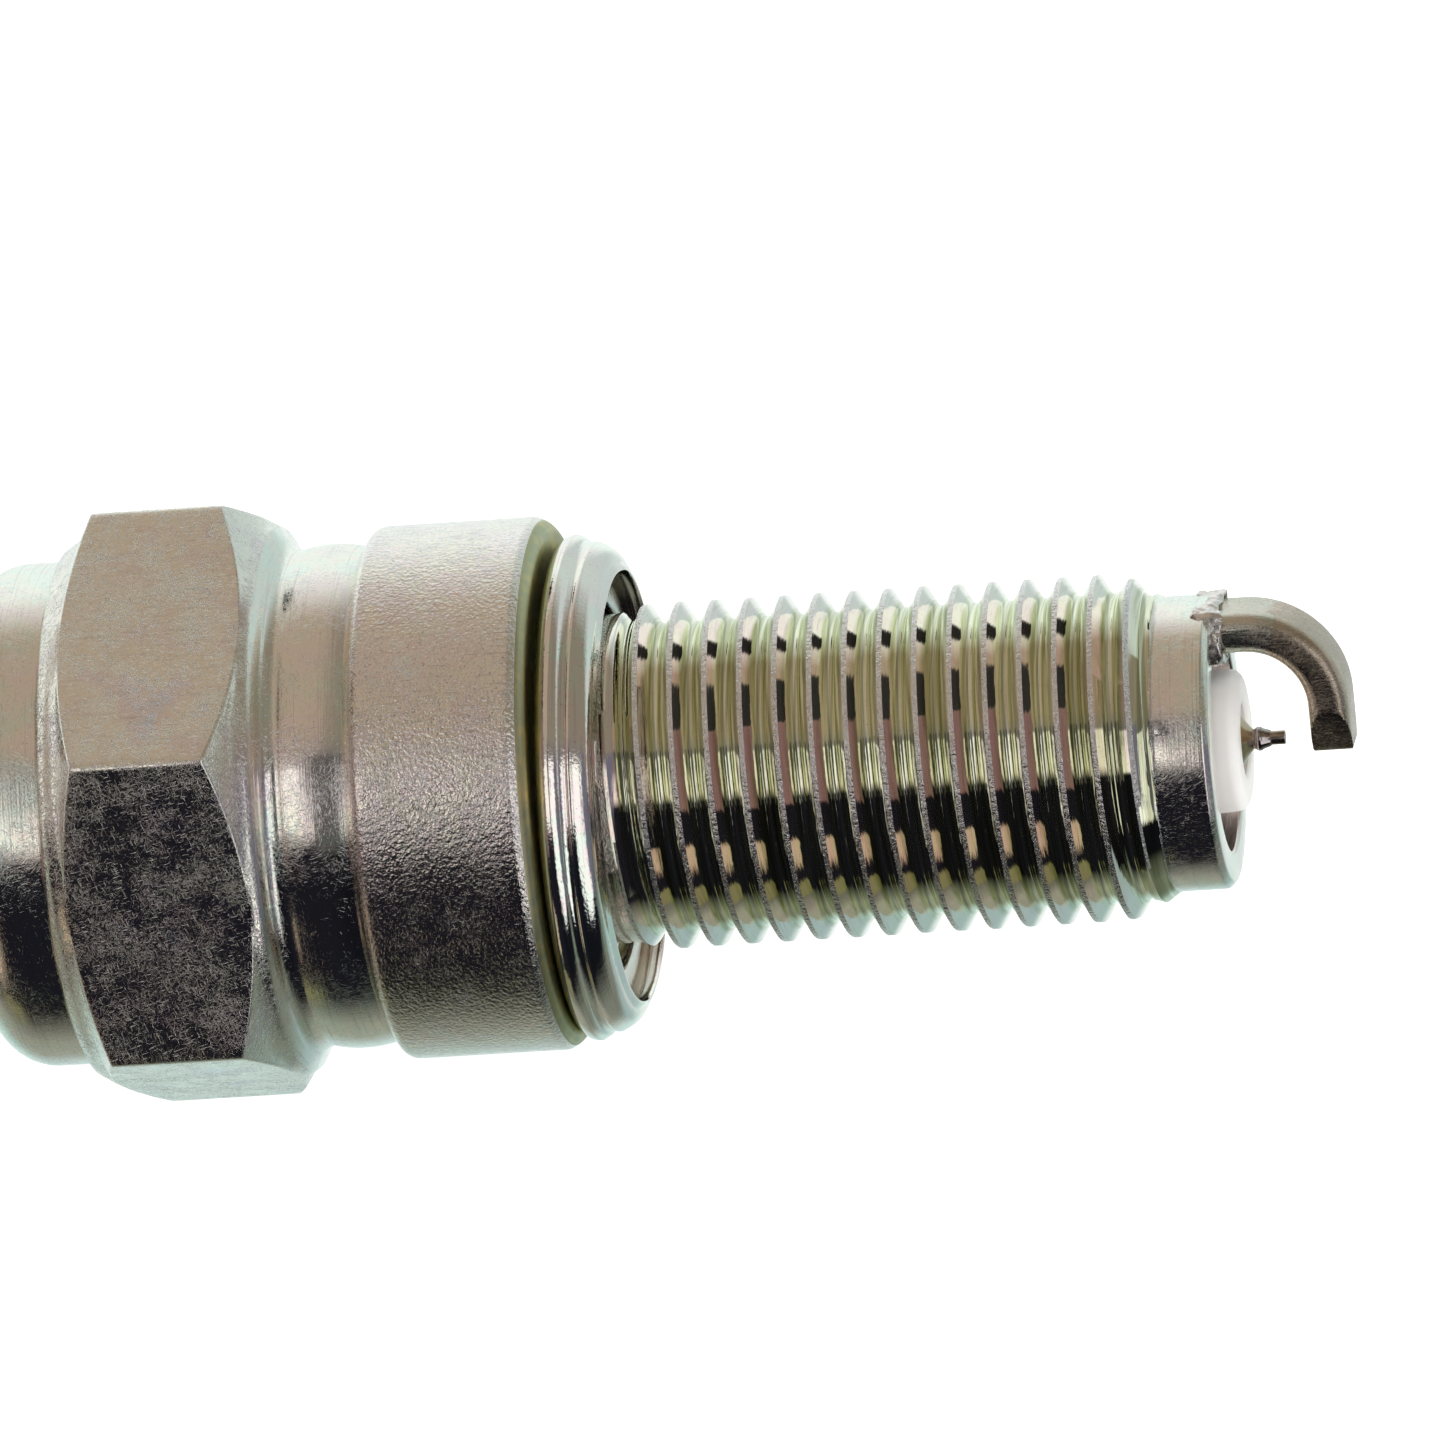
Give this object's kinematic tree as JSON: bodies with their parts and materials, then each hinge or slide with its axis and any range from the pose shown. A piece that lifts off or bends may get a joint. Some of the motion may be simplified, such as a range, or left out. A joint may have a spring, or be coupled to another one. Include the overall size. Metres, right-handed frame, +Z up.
{
  "type": "spark plug",
  "caption": "Long-reach motorcycle spark plug: hex steel shell with a metric thread, ribbed insulator, loose folded gasket, fine wire tip, tapered ground strap and removable terminal nut.",
  "frame": {"origin": "on the plug's axis, in the plane of the shell's seat, where the shoulder bears on the gasket", "axes": "+X along the axis towards the firing end, +Z up and square to the top flat of the hexagon, so the plug lies on the opposite flat"},
  "size_m": [0.0732, 0.0184, 0.0158],
  "materials": {
    "shell": "bright zinc plating with faint yellow, green and pink interference colour",
    "sealing_gasket": "bright zinc-plated sheet steel, rolled",
    "insulator": "white alumina, glazed outside the shell",
    "seat_washer": "plain steel",
    "lower_packing_ring": "drawn steel wire",
    "talc_packing": "pressed talc powder, matte",
    "upper_packing_ring": "drawn steel wire",
    "terminal_stud": "nickel-plated steel",
    "terminal_nut": "nickel-plated steel, turned",
    "upper_glass_seal": "copper and glass powder, fused",
    "resistor": "carbon and glass powder, fused, matte",
    "lower_glass_seal": "copper and glass powder, fused",
    "centre_electrode": "nickel alloy with heat tint",
    "copper_core": "drawn copper",
    "tip_weld": "laser weld bead, dark",
    "iridium_tip": "iridium alloy wire, satin",
    "ground_electrode": "nickel alloy, drawn and brushed, with dark bronze sides",
    "ground_weld": "resistance weld flash, granular"
  },
  "bodies": {
    "plug": {"shell": "shell", "insulator": "insulator", "seat_washer": "seat_washer", "lower_packing_ring": "lower_packing_ring", "talc_packing": "talc_packing", "upper_packing_ring": "upper_packing_ring", "terminal_stud": "terminal_stud", "upper_glass_seal": "upper_glass_seal", "resistor": "resistor", "lower_glass_seal": "lower_glass_seal", "centre_electrode": "centre_electrode", "copper_core": "copper_core", "tip_weld": "tip_weld", "iridium_tip": "iridium_tip", "ground_electrode": "ground_electrode", "ground_weld": "ground_weld"},
    "gasket": {"sealing_gasket": "sealing_gasket"},
    "nut": {"terminal_nut": "terminal_nut"}
  },
  "joints": [
    {"name": "gasket_float", "type": "slide", "parent": "plug", "child": "gasket", "axis": [1, 0, 0], "range_m": [0, 0.0012]},
    {"name": "terminal_nut_off", "type": "slide", "parent": "plug", "child": "nut", "axis": [-1, 0, 0], "range_m": [0, 0.008]}
  ]
}
